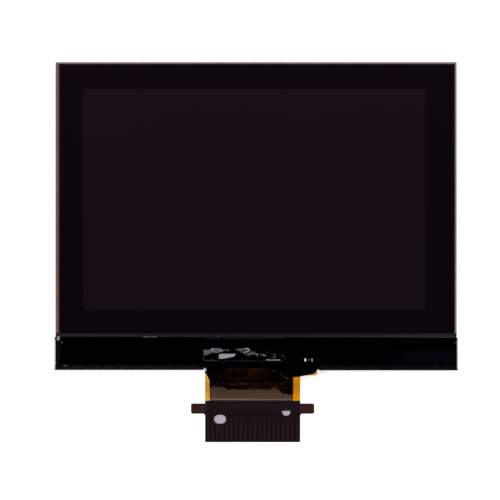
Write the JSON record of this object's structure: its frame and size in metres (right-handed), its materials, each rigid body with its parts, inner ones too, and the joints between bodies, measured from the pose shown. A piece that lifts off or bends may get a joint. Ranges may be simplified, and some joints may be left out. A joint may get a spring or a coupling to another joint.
{
  "type": "tft display module",
  "caption": "Small colour display module: glass panel on a slim backlight, chip ledge under black tape, and a short flex tail with an eared stiffener.",
  "frame": {"origin": "middle of the panel's outline, on the flat back of the rear bezel", "axes": "+X right across the screen, +Y up the screen, +Z out of the screen; the module lies on its back"},
  "size_m": [0.0858, 0.081, 0.0041],
  "materials": {
    "bezel_steel": "pressed sheet, satin",
    "frame_plastic": "moulded, white",
    "reflector_film": "white mirror film",
    "guide_acrylic": "polished clear acrylic",
    "diffuser_film": "frosted film",
    "prism_film": "ribbed clear film",
    "rim_tape_black": "black adhesive tape",
    "flex_film": "amber polyimide film",
    "lamp_plastic": "moulded, white",
    "lamp_window": "phosphor-filled resin",
    "solder": "bright tin",
    "polariser_film": "dark laminated film",
    "panel_glass": "cut display glass",
    "seal_resin": "cured resin",
    "cell_fluid": "liquid crystal between the glasses",
    "filter_layer": "dark colour filter",
    "mask_print": "black printed border",
    "front_film": "dark glossy film, unlit screen",
    "bond_film": "conductive adhesive film",
    "chip_silicon": "ground silicon",
    "trace_cover": "conductors under a dark cover film",
    "stiffener_film": "dark brown stiff film",
    "contact_gold": "gold plated copper",
    "capacitor_ceramic": "sintered ceramic",
    "ledge_tape_black": "glossy black tape"
  },
  "bodies": {
    "root": {"rear_bezel": "bezel_steel", "light_frame": "frame_plastic", "reflector_sheet": "reflector_film", "light_guide": "guide_acrylic", "diffuser_sheet": "diffuser_film", "lower_prism_sheet": "prism_film", "upper_prism_sheet": "prism_film", "rim_tape": "rim_tape_black", "led_flex": "flex_film", "led_packages": "lamp_plastic", "led_windows": "lamp_window", "lead_solder": "solder", "rear_polariser": "polariser_film", "array_glass": "panel_glass", "cell_seal": "seal_resin", "liquid_crystal": "cell_fluid", "colour_filter": "filter_layer", "border_mask": "mask_print", "filter_glass": "panel_glass", "front_polariser": "front_film", "chip_bond_film": "bond_film", "driver_chip": "chip_silicon", "flex_bond_film": "bond_film", "flex_circuit": "flex_film", "flex_traces": "trace_cover", "tail_stiffener": "stiffener_film", "contact_fingers": "contact_gold", "capacitor_body": "capacitor_ceramic", "capacitor_ends": "solder", "ledge_tape": "ledge_tape_black"}
  },
  "joints": []
}
